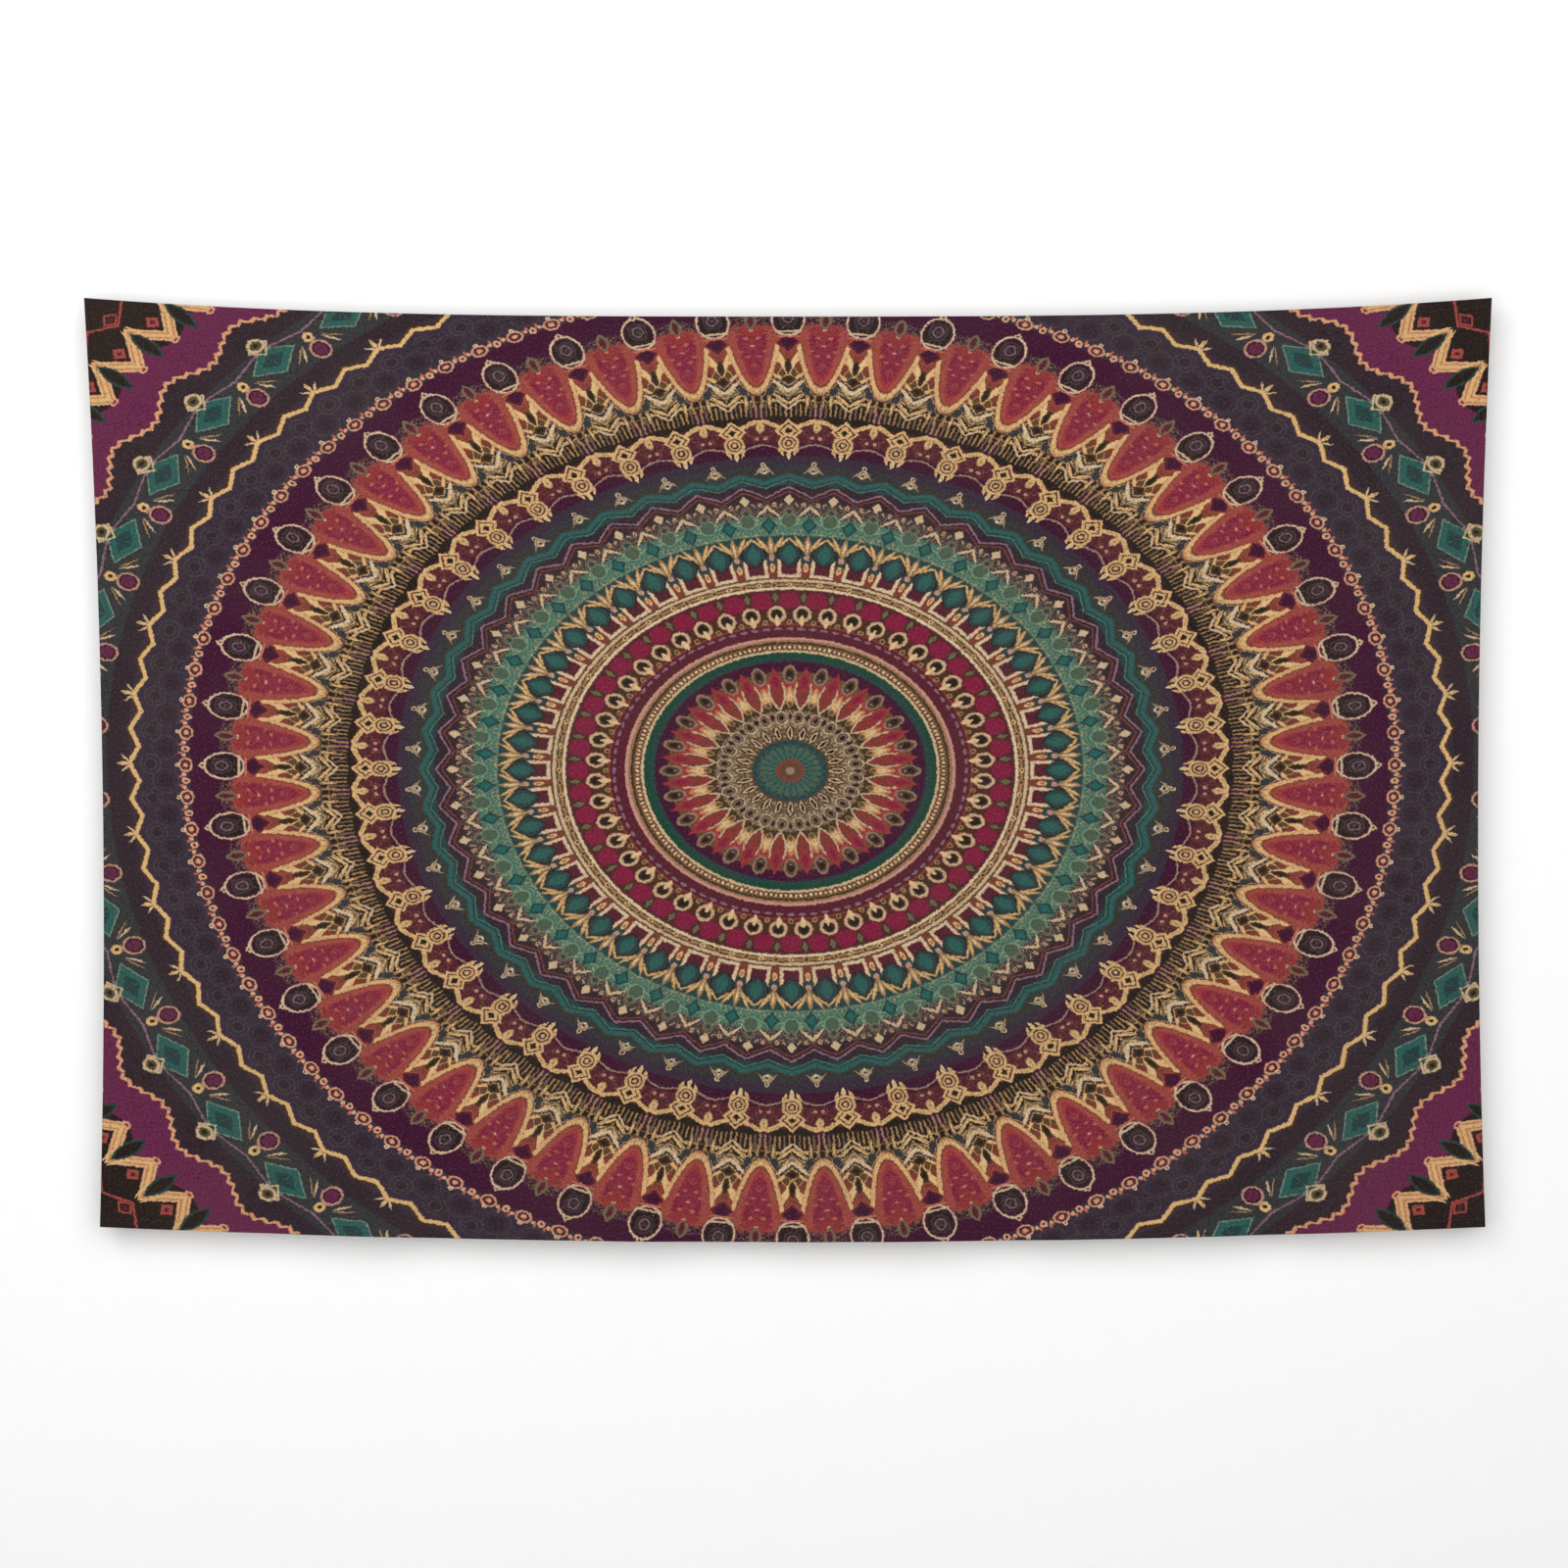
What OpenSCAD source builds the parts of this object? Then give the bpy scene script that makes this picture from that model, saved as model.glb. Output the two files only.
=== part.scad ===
// Landscape tapestry wall hanging: one printed cloth with double-turned hems, lock-stitched,
// with two braid hanging loops and a blank care label sewn to its back.
// +Z is up and the printed face looks along -Y. The origin is the middle of the line on
// which the two wall hooks bear, inside the tops of the hanging loops.

/* [Cloth] */
// Width of the finished cloth, laid flat
cloth_w = 1500; // [1000:10:2000]
// Height of the finished cloth, laid flat
cloth_h = 990; // [700:10:1300]
// Thickness of one layer of the cloth
cloth_t = 0.4; // [0.3:0.1:0.8]
// Width of the double-turned hems
hem_w = 12; // [11:1:20]

/* [How it hangs] */
// Sag of the top edge's middle below the top corners
top_sag = 20; // [0:1:40]
// Bow of the bottom edge's middle below the bottom corners
foot_bow = 16; // [0:1:30]
// How far the left bottom corner is drawn inwards
left_foot_draw = 17; // [0:1:25]
// How far the right bottom corner is drawn inwards
right_foot_draw = 7; // [0:1:25]
// How far each side edge curves inwards beyond that, at half height
side_bow = 11; // [0:1:20]

/* [Stitching] */
// Distance from the cloth's edge to the middle of its seam
seam_inset = 9; // [8:0.5:9]
// Diameter of the sewing thread, laid as a flat line
thread_w = 0.6; // [0.4:0.1:0.8]
// How far the thread stands on the face, and sinks into the back
thread_t = 0.2; // [0.1:0.05:0.3]

/* [Hanging loops] */
// Width of the flat braid
braid_w = 3; // [2.5:0.5:3]
// Thickness of the flat braid
braid_t = 1; // [0.8:0.1:1.2]
// Inner radius of the eye, at its round top
eye_r = 4; // [3.5:0.5:4]
// Distance from the hooks' line down to where the braid leaves its bar tack
eye_drop = 17; // [14:1:20]
// Distance from the middle of a loop to the cloth's top corner, across
loop_inset = 9; // [9:0.5:12]
// Distance from the hooks' line up to the cloth's top corners
hook_drop = 9; // [8:1:12]
// Length of braid sewn down below the eye
sewn_l = 7; // [6:1:10]
// Height of a bar tack
tack_h = 3; // [2:0.5:4]

/* [Care label] */
// Height of the label along its sewn edge
label_h = 35; // [25:1:45]
// Reach of the label's free part
label_l = 40; // [25:1:60]
// Thickness of the folded label
label_t = 0.4; // [0.3:0.1:0.5]
// Width of the label's sewn strip
label_edge_w = 3; // [2.5:0.5:4]
// Height of the label's middle above the bottom corners
label_z = 110; // [60:5:400]

/* [Hidden] */

// Gap kept between a piece that flips and what lies under it
flip_gap = 0.35;
// Where each layer starts, from the wall side to the face
hem_back = -braid_t / 2 - flip_gap;
panel_back = hem_back - 2 * cloth_t;
panel_front = panel_back - cloth_t;
// Where the corners are, and the middle and half the width of the foot
corner_z = hook_drop;
foot_z = corner_z - cloth_h;
foot_mid = (left_foot_draw - right_foot_draw) / 2;
foot_half = (cloth_w - left_foot_draw - right_foot_draw) / 2;
// Spans in the outline's long and short edges
long_spans = 24;
short_spans = 10;
// Power of the top edge's curve, which is flatter in the middle than a parabola
sag_power = 3;
// The loops: middle line, outer radius, and the height of the hinge at the bar tack
loop_x = cloth_w / 2 - loop_inset;
outer_r = eye_r + braid_w;
hinge_z = -eye_drop;
// Half the gap between a loop's two legs where they meet, and the gap under the hinge
leg_gap = 0.2;
hinge_gap = 0.3;
turn_gap = 0.8;
// The bar tack: thread above the braid, and thread past its sides
tack_t = 0.3;
tack_side = 0.6;
tack_drop = 2.5;
// The care label: middle height, and its hinge line, where the free part leaves the strip
label_mid = foot_z + label_z;
label_y = hem_back + flip_gap + label_t / 2;
label_seam_x = side_x(-1, (corner_z - label_mid) / cloth_h) + hem_w / 2;
label_hinge_x = label_seam_x + label_edge_w / 2 + turn_gap;
stitch_pitch = 3.5;
stitch_l = 2.6;

// Curves of the four edges: x runs across, t runs from 0 at a side's top to 1 at its foot,
// and side is 1 for the right side and -1 for the left one.
function top_z(x) = corner_z - top_sag * (1 - pow(abs(2 * x / cloth_w), sag_power));
function bottom_z(x) = foot_z - foot_bow * (1 - pow((x - foot_mid) / foot_half, 2));
function foot_draw(side) = side > 0 ? right_foot_draw : left_foot_draw;
function side_x(side, t) =
    side * (cloth_w / 2 - foot_draw(side) * t - 4 * side_bow * t * (1 - t));

top_edge = [for (i = [0 : long_spans])
    let (x = cloth_w * (i / long_spans - 0.5)) [x, top_z(x)]];
bottom_edge = [for (i = [0 : long_spans])
    let (x = foot_mid + foot_half * (2 * i / long_spans - 1)) [x, bottom_z(x)]];
function side_edge(side) = [for (i = [0 : short_spans])
    let (t = i / short_spans) [side_x(side, t), corner_z - cloth_h * t]];
right_edge = side_edge(1);
left_edge = side_edge(-1);

function reversed(points) = [for (i = [len(points) - 1 : -1 : 0]) points[i]];
function moved(points, step) = [for (p = points) p + step];

// A flat outline in X and Z becomes a layer from y up to y + t.
module layer(y, t) {
    translate([0, y + t, 0]) rotate([90, 0, 0]) linear_extrude(t) children();
}

// The strip between an edge moved by a and the same edge moved by b
module strip(edge, a, b) {
    polygon(concat(moved(edge, a), reversed(moved(edge, b))));
}

module cloth_outline() {
    polygon(concat(top_edge, right_edge, reversed(bottom_edge), reversed(left_edge)));
}

module top_strip(a, b) {
    strip(top_edge, [0, -a], [0, -b]);
}

module bottom_strip(a, b) {
    strip(bottom_edge, [0, a], [0, b]);
}

module side_strip(side, a, b) {
    strip(side > 0 ? right_edge : left_edge, [-side * a, 0], [-side * b, 0]);
}

// Seam lines: the long ones run from side to side, and the side ones stop short of them.
module long_seam() {
    intersection() {
        seam_field();
        children();
    }
}

module seam_field() {
    difference() {
        cloth_outline();
        side_strip(1, -1, 3);
        side_strip(-1, -1, 3);
    }
}

module top_seam() {
    long_seam() top_strip(seam_inset - thread_w / 2, seam_inset + thread_w / 2);
}

module bottom_seam() {
    long_seam() bottom_strip(seam_inset - thread_w / 2, seam_inset + thread_w / 2);
}

module side_seam(side) {
    difference() {
        side_strip(side, seam_inset - thread_w / 2, seam_inset + thread_w / 2);
        top_strip(-1, seam_inset + thread_w);
        bottom_strip(-1, seam_inset + thread_w);
    }
}

// Each hem is two layers of cloth, with the bobbin threads sunk flush into its back.
module hem() {
    color("#4a2740") difference() {
        layer(panel_back, 2 * cloth_t) children(0);
        layer(hem_back - thread_t, 2 * thread_t) children(1);
    }
}

// The side seams run on over the ends of the top and bottom hems.
module long_hem() {
    hem() {
        children(0);
        union() {
            children(1);
            side_seam(1);
            side_seam(-1);
        }
    }
}

module needle_thread() {
    color("#2b2230") layer(panel_front - thread_t, thread_t) children();
}

module bobbin_thread() {
    color("#2b2230") layer(hem_back - thread_t, thread_t) children();
}

module cloth_panel() {
    color("#7a3b3c") layer(panel_front, cloth_t) cloth_outline();
}

module top_hem() {
    long_hem() {
        intersection() {
            cloth_outline();
            top_strip(0, hem_w);
        }
        top_seam();
    }
}

module bottom_hem() {
    long_hem() {
        intersection() {
            cloth_outline();
            bottom_strip(0, hem_w);
        }
        bottom_seam();
    }
}

module side_hem(side) {
    hem() {
        difference() {
            intersection() {
                cloth_outline();
                side_strip(side, 0, hem_w);
            }
            top_strip(-1, hem_w);
            bottom_strip(-1, hem_w);
        }
        side_seam(side);
    }
}

module left_hem() {
    side_hem(-1);
}

module right_hem() {
    side_hem(1);
}

module top_needle_thread() {
    needle_thread() top_seam();
}

module bottom_needle_thread() {
    needle_thread() bottom_seam();
}

module left_needle_thread() {
    needle_thread() side_seam(-1);
}

module right_needle_thread() {
    needle_thread() side_seam(1);
}

module top_bobbin_thread() {
    bobbin_thread() top_seam();
}

module bottom_bobbin_thread() {
    bobbin_thread() bottom_seam();
}

module left_bobbin_thread() {
    bobbin_thread() side_seam(-1);
}

module right_bobbin_thread() {
    bobbin_thread() side_seam(1);
}

// A round top with straight flanks that touch it and run down to a tip
module teardrop(r, tip, drop) {
    touch = atan2(-drop, tip) + acos(r / norm([tip, drop]));
    circle(r, $fn = 64);
    polygon([[-r * cos(touch), r * sin(touch)], [-tip, -drop],
             [tip, -drop], [r * cos(touch), r * sin(touch)]]);
}

// The free part of a loop, a flat braid bent into an eye, down to its hinge at the bar tack
module loop(side) {
    drop = eye_drop - eye_r - hinge_gap;
    color("#3a3036") translate([side * loop_x, 0, -eye_r]) layer(-braid_t / 2, braid_t)
        difference() {
            teardrop(outer_r, braid_w + leg_gap, drop);
            teardrop(eye_r, leg_gap, drop - 1);
        }
}

// The two ends of a loop's braid, sewn down side by side
module loop_ends(side) {
    color("#3a3036") for (leg = [-1, 1])
        translate([side * loop_x + leg * (leg_gap + braid_w / 2), hem_back + braid_t / 2,
                   hinge_z - turn_gap - sewn_l / 2])
            cube([braid_w, braid_t, sewn_l], center = true);
}

// Dense stitches over both ends, down to the hem on either side
module loop_tack(side) {
    ends_w = 2 * (leg_gap + braid_w);
    translate([side * loop_x, 0, hinge_z - turn_gap - tack_drop]) color("#2b2230")
        difference() {
            translate([-ends_w / 2 - tack_side, hem_back, -tack_h])
                cube([ends_w + 2 * tack_side, braid_t + tack_t, tack_h]);
            translate([-ends_w / 2, hem_back - 1, -tack_h - 1])
                cube([ends_w, braid_t + 1, tack_h + 2]);
        }
}

module left_loop() {
    loop(-1);
}

module right_loop() {
    loop(1);
}

module left_loop_ends() {
    loop_ends(-1);
}

module right_loop_ends() {
    loop_ends(1);
}

module left_loop_tack() {
    loop_tack(-1);
}

module right_loop_tack() {
    loop_tack(1);
}

// The label's free part, which swings on its sewn edge
module care_label() {
    color("#e9e6df")
        translate([label_hinge_x + hinge_gap, label_y - label_t / 2, label_mid - label_h / 2])
            cube([label_l, label_t, label_h]);
}

module care_label_edge() {
    color("#e9e6df")
        translate([label_seam_x - label_edge_w / 2, hem_back, label_mid - label_h / 2])
            cube([label_edge_w, label_t, label_h]);
}

module care_label_stitches() {
    count = floor((label_h - stitch_l) / stitch_pitch);
    color("#2b2230") for (i = [0 : count - 1])
        translate([label_seam_x - thread_w / 2, hem_back + label_t,
                   label_mid + (i - (count - 1) / 2) * stitch_pitch - stitch_l / 2])
            cube([thread_w, thread_t, stitch_l]);
}

cloth_panel();
top_hem();
bottom_hem();
left_hem();
right_hem();
top_needle_thread();
bottom_needle_thread();
left_needle_thread();
right_needle_thread();
top_bobbin_thread();
bottom_bobbin_thread();
left_bobbin_thread();
right_bobbin_thread();
left_loop();
right_loop();
left_loop_ends();
right_loop_ends();
left_loop_tack();
right_loop_tack();
care_label();
care_label_edge();
care_label_stitches();
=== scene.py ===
"""Looks of a printed tapestry wall hanging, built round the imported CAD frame.

All places are in metres in the frame of the part: +Z up, the print looks along -Y, and the
wall is on the +Y side. The print is drawn by nodes in millimetres on the flat cloth.
"""
import math

import bpy
import numpy as np
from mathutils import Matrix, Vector


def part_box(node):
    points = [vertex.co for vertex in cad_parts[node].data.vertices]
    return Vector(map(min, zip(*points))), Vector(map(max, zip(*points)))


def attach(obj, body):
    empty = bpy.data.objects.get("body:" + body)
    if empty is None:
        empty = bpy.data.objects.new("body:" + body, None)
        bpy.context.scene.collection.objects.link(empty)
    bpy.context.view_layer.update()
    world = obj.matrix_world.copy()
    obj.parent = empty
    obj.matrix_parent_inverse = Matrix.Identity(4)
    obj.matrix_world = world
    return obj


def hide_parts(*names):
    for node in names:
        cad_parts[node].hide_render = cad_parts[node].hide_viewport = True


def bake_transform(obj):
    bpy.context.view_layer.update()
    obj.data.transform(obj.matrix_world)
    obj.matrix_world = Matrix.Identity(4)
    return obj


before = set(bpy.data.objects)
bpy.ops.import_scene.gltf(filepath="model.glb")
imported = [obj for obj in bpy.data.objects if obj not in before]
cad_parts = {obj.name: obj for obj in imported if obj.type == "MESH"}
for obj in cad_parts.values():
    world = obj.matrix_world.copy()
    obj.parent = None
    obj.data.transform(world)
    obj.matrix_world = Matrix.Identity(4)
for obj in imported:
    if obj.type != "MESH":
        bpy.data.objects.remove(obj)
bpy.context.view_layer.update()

# -------------------- sizes of the hung cloth

PANEL_LOW, PANEL_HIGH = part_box("cloth_panel")
CLOTH_W = PANEL_HIGH.x - PANEL_LOW.x
CORNER_Z = PANEL_HIGH.z
TOP_SAG = 0.020
FOOT_BOW = 0.016
CLOTH_H = CORNER_Z - PANEL_LOW.z - FOOT_BOW
LEFT_DRAW = 0.017
RIGHT_DRAW = 0.007
SIDE_BOW = 0.011
HEM_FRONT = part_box("top_hem")[0].y
HEM_DEEP = 0.0008
HEM_W = 0.012
SEAM_INSET = 0.009

# Soft folds down the cloth: height, waves from the middle to a side, drift on the way down
# and phase. The cloth also swags below its top edge, and stands a little forward.
FOLDS = [(0.0022, 2.7, 0.35, 0.1), (0.0014, 4.9, -0.6, 0.4), (0.0008, 8.3, 0.9, 0.7)]
SWAG = 0.0016
STAND_OFF = 0.0015


def hung(s, q):
    """Where a point of the flat cloth hangs: s across from the middle, q down from the top."""
    u = np.clip(2 * s / CLOTH_W, -1, 1)
    v = np.clip(q / CLOTH_H, 0, 1)
    curve = 4 * SIDE_BOW * v * (1 - v)
    left = -(CLOTH_W / 2 - LEFT_DRAW * v - curve)
    right = CLOTH_W / 2 - RIGHT_DRAW * v - curve
    x = (left + right) / 2 + (right - left) / 2 * u
    sag = TOP_SAG * (1 - np.abs(u) ** 3) * (1 - v) ** 2
    bow = FOOT_BOW * (1 - u ** 2) * v ** 2
    z = CORNER_Z - CLOTH_H * v - sag - bow
    return x, z


def ripple(s, q):
    """How far the cloth stands forward (negative) or back of its plane, in metres."""
    u = 2 * s / CLOTH_W
    v = q / CLOTH_H
    slack = np.clip(v * 1.6, 0, 1) * (1 - u ** 8)
    folds = sum(high * np.sin(2 * math.pi * (u * waves + drift * v + phase))
                for high, waves, drift, phase in FOLDS)
    swag = SWAG * np.sin(2 * math.pi * (v * 2.1 - 0.5 * np.abs(u))) * (1 - v) ** 2 * (1 - u ** 2)
    return folds * slack - STAND_OFF * slack + swag


def edge_distance(s, q):
    """How far a point of the flat cloth is from the nearest edge."""
    return np.minimum(np.minimum(s + CLOTH_W / 2, CLOTH_W / 2 - s), np.minimum(q, CLOTH_H - q))


# -------------------- camera and stage

FRAME_W = 1.671
LENS = 120.0
SENSOR = 36.0
AIM = Vector((-0.0042, 0.0, -0.509))
WALL_GAP = 0.024
WALL_HALF_W = 2.2
WALL_TOP = 1.0
FLOOR_HALF_W = 4
FLOOR_Z = -1.45
FLOOR_PAINT = (0.86, 0.855, 0.845)
DAYLIGHT = 0.12

# Square lights: name, place, aim, size in metres, power in watts
LIGHTS = [
    ("softbox", (0, -2.5, -0.3), (0, 0, -0.3), 7.0, 219),
    ("key", (-1.7, -1.9, 1.0), (0, 0, -0.5), 1.4, 13),
    ("back_light", (1.0, 3.0, 1.0), (0, 0, -0.5), 1.2, 36),
]


def new_object(name, data):
    piece = bpy.data.objects.new(name, data)
    bpy.context.scene.collection.objects.link(piece)
    return piece


def make_camera():
    data = bpy.data.cameras.new("camera")
    data.lens = LENS
    data.sensor_width = SENSOR
    data.clip_end = 50
    camera = new_object("camera", data)
    camera.location = AIM + Vector((0, -FRAME_W * LENS / SENSOR, 0))
    camera.rotation_euler = (math.pi / 2, 0, 0)
    bpy.context.scene.camera = camera


def make_light(name, place, aim, size, power):
    data = bpy.data.lights.new(name, "AREA")
    data.shape = "RECTANGLE"
    data.size = size
    data.size_y = size
    data.energy = power
    light = new_object(name, data)
    light.location = place
    light.rotation_euler = (Vector(aim) - Vector(place)).to_track_quat("-Z", "Y").to_euler()


def make_world():
    world = bpy.data.worlds.new("studio")
    world.use_nodes = True
    background = world.node_tree.nodes["Background"]
    background.inputs["Color"].default_value = (1, 1, 1, 1)
    background.inputs["Strength"].default_value = DAYLIGHT
    bpy.context.scene.world = world


def make_stage():
    """A wall that shows only from the front and casts no shadow, and a pale floor below it."""
    w, z = FLOOR_HALF_W, FLOOR_Z
    floor = quad_mesh("floor", [(-w, -w, z), (w, -w, z), (w, w, z), (-w, w, z)])
    floor.data.materials.append(plain_material("floor_paint", FLOOR_PAINT))
    w, y = WALL_HALF_W, WALL_GAP
    wall = quad_mesh("wall", [(-w, y, z), (w, y, z), (w, y, WALL_TOP), (-w, y, WALL_TOP)])
    wall.data.materials.append(wall_material())
    wall.visible_shadow = False
    wall.visible_diffuse = False
    wall.visible_glossy = False


def quad_mesh(name, corners):
    mesh = bpy.data.meshes.new(name)
    mesh.from_pydata(corners, [], [(0, 1, 2, 3)])
    return new_object(name, mesh)


# -------------------- node helpers


def srgb(hex_colour):
    """A '#rrggbb' colour as linear RGBA."""
    parts = [int(hex_colour[i:i + 2], 16) / 255 for i in (1, 3, 5)]
    return [c / 12.92 if c <= 0.04045 else ((c + 0.055) / 1.055) ** 2.4 for c in parts] + [1.0]


def dim(colour, share):
    return tuple(share * c for c in colour[:3]) + (1.0,)


class Nodes:
    """Short ways to add nodes to one tree.

    The renderer has little room for values that wait to be used, so nodes are always made in
    the order in which they run, and the print is cut into groups.
    """

    def __init__(self, tree):
        self.tree = tree

    def add(self, kind, **settings):
        node = self.tree.nodes.new(kind)
        for name, value in settings.items():
            setattr(node, name, value)
        return node

    def put(self, socket, value):
        if isinstance(value, bpy.types.NodeSocket):
            self.tree.links.new(value, socket)
        else:
            socket.default_value = value

    def calculate(self, kind, operation, values):
        node = self.add(kind, operation=operation)
        for socket, value in zip(node.inputs, values):
            self.put(socket, value)
        return node.outputs[0]

    def math(self, operation, *values):
        return self.calculate("ShaderNodeMath", operation, values)

    def vector(self, operation, *values):
        return self.calculate("ShaderNodeVectorMath", operation, values)

    def times(self, a, b):
        return self.math("MULTIPLY", a, b)

    def wave(self, value, pitch):
        return self.math("SINE", self.times(value, 2 * math.pi / pitch))

    def line(self, value, slope, shift):
        return self.math("MULTIPLY_ADD", value, slope, shift)

    def abs(self, value):
        return self.math("ABSOLUTE", value)

    def mix(self, factor, a, b):
        node = self.add("ShaderNodeMix", data_type="RGBA")
        self.put(node.inputs[0], factor)
        self.put(node.inputs[6], a)
        self.put(node.inputs[7], b)
        return node.outputs[2]

    def step(self, value, low, high, to=(0.0, 1.0)):
        """Rises from to[0] at low to to[1] at high, smoothly."""
        node = self.add("ShaderNodeMapRange", interpolation_type="SMOOTHSTEP", clamp=False)
        for socket, x in zip(node.inputs, (value, low, high, *to)):
            self.put(socket, x)
        return node.outputs[0]

    def ramp(self, value, stops):
        """Colour and alpha of a ramp with stops (place, RGBA)."""
        node = self.add("ShaderNodeValToRGB")
        self.put(node.inputs[0], value)
        elements = node.color_ramp.elements
        while len(elements) < len(stops):
            elements.new(1.0)
        for element, (place, colour) in zip(elements, stops):
            element.position = place
            element.color = colour
        return node.outputs[0], node.outputs[1]

    def split(self, vector):
        node = self.add("ShaderNodeSeparateXYZ")
        self.put(node.inputs[0], vector)
        return node.outputs

    def noise(self, vector, scale, detail=2.0, rough=0.5, output=0):
        node = self.add("ShaderNodeTexNoise")
        self.put(node.inputs["Vector"], vector)
        node.inputs["Scale"].default_value = scale
        node.inputs["Detail"].default_value = detail
        node.inputs["Roughness"].default_value = rough
        return node.outputs[output]

    def wander(self, place, scale):
        """Noise along one number."""
        node = self.add("ShaderNodeTexNoise", noise_dimensions="1D")
        self.put(node.inputs["W"], place)
        node.inputs["Scale"].default_value = scale
        node.inputs["Detail"].default_value = 1.5
        return node.outputs[0]


def new_material(name):
    material = bpy.data.materials.new(name)
    material.use_nodes = True
    material.node_tree.nodes.clear()
    nodes = Nodes(material.node_tree)
    return material, nodes, nodes.add("ShaderNodeOutputMaterial")


def new_group(name, **inputs):
    """A node group with a colour as its output, and inputs by name and kind of socket."""
    group = bpy.data.node_groups.new(name, "ShaderNodeTree")
    for label, kind in inputs.items():
        group.interface.new_socket(label, in_out="INPUT", socket_type="NodeSocket" + kind)
    group.interface.new_socket("Color", in_out="OUTPUT", socket_type="NodeSocketColor")
    nodes = Nodes(group)
    return group, nodes, nodes.add("NodeGroupInput").outputs


def give_colour(nodes, colour):
    nodes.put(nodes.add("NodeGroupOutput").inputs[0], colour)


def shader(nodes, output, colour, roughness, bump=None, bump_size=0.0, sheen=0.0,
           sheen_tint=(1, 1, 1, 1), gloss=0.08):
    """One principled shader. Uniform numbers are set on its own sockets."""
    principled = nodes.add("ShaderNodeBsdfPrincipled")
    looks = {"Base Color": colour, "Roughness": roughness, "Specular IOR Level": gloss,
             "Sheen Weight": sheen, "Sheen Roughness": 0.45, "Sheen Tint": sheen_tint}
    for label, value in looks.items():
        nodes.put(principled.inputs[label], value)
    if bump is not None:
        node = nodes.add("ShaderNodeBump")
        node.inputs["Strength"].default_value = 1.0
        node.inputs["Distance"].default_value = bump_size
        nodes.put(node.inputs["Height"], bump)
        nodes.put(principled.inputs["Normal"], node.outputs[0])
    nodes.put(output.inputs[0], principled.outputs[0])


def plain_material(name, colour):
    material, nodes, output = new_material(name)
    place = nodes.add("ShaderNodeNewGeometry").outputs["Position"]
    mottle = nodes.noise(place, 3.0)
    tone = nodes.step(mottle, 0.3, 0.7, (0.985, 1.0))
    shader(nodes, output, nodes.mix(tone, dim(colour, 0.97), dim(colour, 1.0)), 0.85)
    return material


def wall_material():
    """White wall paint that can't be seen from behind, so that it never hides the cloth's back."""
    material, nodes, output = new_material("wall_paint")
    diffuse = nodes.add("ShaderNodeBsdfDiffuse")
    diffuse.inputs["Color"].default_value = (0.97, 0.97, 0.97, 1)
    clear = nodes.add("ShaderNodeBsdfTransparent")
    facing = nodes.add("ShaderNodeNewGeometry").outputs["Backfacing"]
    mixed = nodes.add("ShaderNodeMixShader")
    nodes.put(mixed.inputs[0], facing)
    nodes.put(mixed.inputs[1], diffuse.outputs[0])
    nodes.put(mixed.inputs[2], clear.outputs[0])
    nodes.put(output.inputs[0], mixed.outputs[0])
    return material


# -------------------- the print

# The dyes of the print, and the colours of bare cloth, thread, braid and label
DYES = {
    "ink": "#231a17", "aubergine": "#31252e", "slate": "#35373a", "indigo": "#382c3c",
    "scale": "#453d40", "plum": "#3f0f30", "ribbon": "#68254a", "wine": "#571f2d",
    "crimson": "#841c3e", "red": "#963237", "brick": "#a34b42", "rust": "#7d3c2f",
    "orange": "#c78058", "peach": "#d9a280", "salmon": "#bd6857", "pink": "#c58f80",
    "mauve": "#876474", "dusty": "#9a7c6a", "gold": "#deb57c", "pale_gold": "#e2c292",
    "ochre": "#a27d55", "sand": "#ceb08c", "cream": "#dec29e", "khaki": "#725f48",
    "umber": "#44301f", "brown": "#5d432f", "olive": "#545033", "taupe": "#756750",
    "sage": "#496050", "green": "#134534", "teal": "#22635a", "sea": "#2f5b57",
    "deep_teal": "#244243", "light_teal": "#447262", "pale_teal": "#74937c",
    "bare_cloth": "#cfc6ba", "thread": "#3a2b3c", "braid": "#57485a",
    "satin": "#ece8df", "grey_satin": "#d2cabb", "yellow_satin": "#c9b48c",
}
DYES = {name: srgb(code) for name, code in DYES.items()}
GRAIN_DARK = (0.012, 0.008, 0.009, 1)
GRAIN_LIGHT = (0.30, 0.20, 0.11, 1)
MOTTLE = (0.10, 0.075, 0.06, 1)

# The ground by radius, in millimetres, in runs: the radii that its ramp spans, the radius
# where it takes over from the run before, and its dyes with the radii between them
GROUND = [
    (0, 170, 0, "dusty 5 brown 14 sage 34 deep_teal 41 brown 60 khaki 80 umber 95 orange 108 red 122 "
                "brown 134 plum 148 green"),
    (155, 370, 160, "ochre 176 wine 200 umber 217 wine 244 brown 262 rust 280 deep_teal 319 "
                    "light_teal 345 scale"),
    (360, 610, 364, "aubergine 388 deep_teal 404 slate 416 indigo 428 plum 446 wine 474 ink 512 slate "
                    "536 brown 547 rust 598 plum"),
    (640, 980, 655, "indigo 722 aubergine 745 slate 800 aubergine 870 ink"),
]

# Half the width in which one ground dye turns into the next, in millimetres
GROUND_SOFT = 1.0

# How much the round print is squeezed in height
PRINT_STRETCH = 1.255

# Thin rings: radius, half thickness, dye. Their run is the radii that they all lie in.
RING_RUN = (155, 262)
RINGS = [
    (161.5, 1.3, "sand"), (172.5, 1.2, "umber"), (178.3, 1.6, "pink"), (198, 1.0, "rust"),
    (247, 1.4, "cream"), (252, 0.8, "ochre"), (257.5, 1.4, "sand"),
]

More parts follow.
